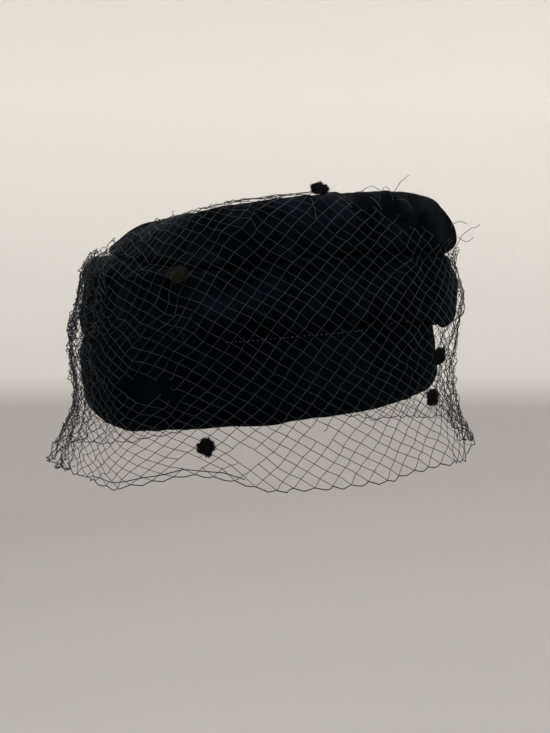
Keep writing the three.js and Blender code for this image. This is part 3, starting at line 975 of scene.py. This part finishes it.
def make_camera():
    """The camera at the photograph's angle, where back points from the hat to it. Its upward
    direction is returned."""
    azimuth, elevation, roll = (math.radians(CAMERA[k]) for k in ("azimuth", "elevation", "roll"))
    back = np.array([
        math.sin(azimuth) * math.cos(elevation),
        -math.cos(azimuth) * math.cos(elevation),
        math.sin(elevation),
    ])
    level = np.array([math.cos(azimuth), math.sin(azimuth), 0])
    upright = np.cross(back, level)
    right = math.cos(roll) * level - math.sin(roll) * upright
    up = math.sin(roll) * level + math.cos(roll) * upright
    distance, focal = CAMERA["distance"], CAMERA["focal_px"]
    beside = (ORIGIN_PX[0] - FRAME_WIDTH / 2) / focal * distance
    above = (FRAME_HEIGHT / 2 - ORIGIN_PX[1]) / focal * distance
    camera = bpy.data.objects.new("camera", bpy.data.cameras.new("camera"))
    bpy.context.scene.collection.objects.link(camera)
    camera.data.sensor_width = SENSOR_MM
    camera.data.lens = focal * SENSOR_MM / FRAME_HEIGHT
    camera.matrix_world = facing(right, up, back, back * distance - right * beside - up * above)
    bpy.context.scene.camera = camera
    return up


# The sweep behind and under the hat, in metres
FLOOR_HEIGHT = -0.45
WALL_DISTANCE = 3.2
WALL_HEIGHT = 5
SWEEP_RADIUS = 1.2
# The backdrop's colour at heights along the camera's upward direction, because it stands level in
# the photograph, where the hat leans: darker grey low down, a soft edge, and a wall painted lighter
# upward, a painted gradient of light
BACKDROP_TONE_AND_LIGHT = [
    {"height": -0.06, "color": (0.34, 0.33, 0.32)},
    {"height": 0, "color": (0.55, 0.54, 0.52)},
    {"height": 0.6, "color": (0.78, 0.76, 0.73)},
]


def make_sweep(level_up):
    """A seamless floor and wall, all round the hat, whose colour changes along level_up: painted lighter
    upward, a painted gradient of light.
    """
    turns = np.radians(np.linspace(0, 90, 13))
    curve = np.stack([np.sin(turns) - 1, 1 - np.cos(turns)], -1) * SWEEP_RADIUS + [WALL_DISTANCE, 0]
    reach = np.concatenate([[[0, 0]], curve, [[WALL_DISTANCE, WALL_HEIGHT]]])
    sides = 64
    turn = np.arange(sides) * 2 * math.pi / sides
    out, high = reach[:, :1], np.broadcast_to(FLOOR_HEIGHT + reach[:, 1:], (len(reach), sides))
    points = np.stack([out * np.cos(turn), out * np.sin(turn), high], -1) / MM
    sweep = make_mesh("sweep", points.reshape(-1, 3), ring_faces(len(reach), sides))
    made, nodes, links, shader = node_material("sweep_paper")
    shader.inputs["Roughness"].default_value = 1
    shader.inputs["Specular IOR Level"].default_value = 0
    place = nodes.new("ShaderNodeNewGeometry")
    level = nodes.new("ShaderNodeVectorMath")
    level.operation = "DOT_PRODUCT"
    level.inputs[1].default_value = tuple(level_up)
    spread = nodes.new("ShaderNodeMapRange")
    spread.inputs["From Min"].default_value = BACKDROP_TONE_AND_LIGHT[0]["height"]
    spread.inputs["From Max"].default_value = BACKDROP_TONE_AND_LIGHT[-1]["height"]
    tone = nodes.new("ShaderNodeValToRGB")
    span = BACKDROP_TONE_AND_LIGHT[-1]["height"] - BACKDROP_TONE_AND_LIGHT[0]["height"]
    stops = tone.color_ramp.elements
    for number, row in enumerate(BACKDROP_TONE_AND_LIGHT):
        position = (row["height"] - BACKDROP_TONE_AND_LIGHT[0]["height"]) / span
        stop = stops[number] if number < 2 else stops.new(position)
        stop.position = position
        stop.color = (*row["color"], 1)
    links.new(place.outputs["Position"], level.inputs[0])
    links.new(level.outputs["Value"], spread.inputs["Value"])
    links.new(spread.outputs["Result"], tone.inputs["Fac"])
    links.new(tone.outputs["Color"], shader.inputs["Base Color"])
    sweep.data.materials.append(made)


# Soft light from all sides, and area lights: where each stands and how wide it is, in metres, and
# its power in watts
WORLD = {"Color": (1, 0.985, 0.97, 1), "Strength": 1.72}
LIGHTS = [
    {"name": "key", "place": (-0.9, -1.6, 1.5), "size": 1.4, "power": 26},
    {"name": "fill", "place": (1.3, -1.2, 0.8), "size": 1.2, "power": 10},
    {"name": "top", "place": (0.1, 0.5, 1.8), "size": 1.6, "power": 18},
]


def make_lights():
    """The lights, each turned toward the hat."""
    world = bpy.data.worlds.new("studio")
    world.use_nodes = True
    bpy.context.scene.world = world
    set_inputs(world.node_tree.nodes["Background"], WORLD)
    for row in LIGHTS:
        data = bpy.data.lights.new(row["name"], "AREA")
        data.energy = row["power"]
        data.size = row["size"]
        light = bpy.data.objects.new(row["name"], data)
        bpy.context.scene.collection.objects.link(light)
        place = np.array(row["place"])
        back = place / np.linalg.norm(place)
        right = np.cross([0, 0, 1], back)
        right /= np.linalg.norm(right)
        up = np.cross(back, right)
        light.matrix_world = facing(right, up, back, place)


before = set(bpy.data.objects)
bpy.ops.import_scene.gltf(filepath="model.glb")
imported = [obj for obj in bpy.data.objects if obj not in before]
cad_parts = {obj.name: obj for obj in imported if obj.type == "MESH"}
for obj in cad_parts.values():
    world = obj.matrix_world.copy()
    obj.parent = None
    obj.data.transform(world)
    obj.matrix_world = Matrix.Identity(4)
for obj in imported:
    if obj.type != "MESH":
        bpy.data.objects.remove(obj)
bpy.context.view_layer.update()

bpy.context.scene.view_settings.view_transform = "Standard"
make_sweep(make_camera())
make_lights()

# The crown's copy has a brighter painted sheen in its strokes than the band's
velvet = velvet_material("velvet_pile", CROWN_RUBBED_PILE_AND_SHEEN)
band_velvet = velvet_material("velvet_pile_of_band", BAND_RUBBED_PILE_AND_SHEEN)
thread = cloudy_material("net_thread", NET_THREAD, THREAD_SURFACE)
black_chenille = cloudy_material("black_chenille", BLACK_CHENILLE, CHENILLE_SURFACE)
painted_sheen_chenille = cloudy_material("painted_sheen_chenille", PAINTED_SHEEN_CHENILLE, CHENILLE_SURFACE)

pieces = [
    (velvet_wall("side_band_velvet", SIDE_BAND, 420, 70, band_relief, level_top=True), "side_band"),
    (velvet_wall("crown_roll_velvet", CROWN_ROLL, 420, 84, roll_relief), "crown_roll"),
    (velvet_wall("crown_top_velvet", CROWN_TOP, 420, 84, top_relief), "crown_top"),
]
for piece, node in pieces:
    piece.data.materials.append(band_velvet if node == "side_band" else velvet)
    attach(piece, "root")
    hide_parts(node)

tree = velvet_tree([piece for piece, _ in pieces])
net, knots = build_net(tree)
net_knot_piece = build_knots(knots)
stitches = build_stitches(tree)
stitches.data.materials.append(cloudy_material("stitch_thread", STITCH_THREAD, STITCH_SURFACE))
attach(stitches, "root")
for piece in (net, net_knot_piece):
    piece.data.materials.append(thread)
    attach(piece, "root")
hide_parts("veil")

for number, dot in enumerate(DOTS):
    tuft = build_dot(dot, 100 + 10 * number)
    # One dot's chenille is painted olive brown, a painted sheen
    tuft.data.materials.append(painted_sheen_chenille if dot["painted_sheen"] else black_chenille)
    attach(tuft, "root")
    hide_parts(dot["name"])
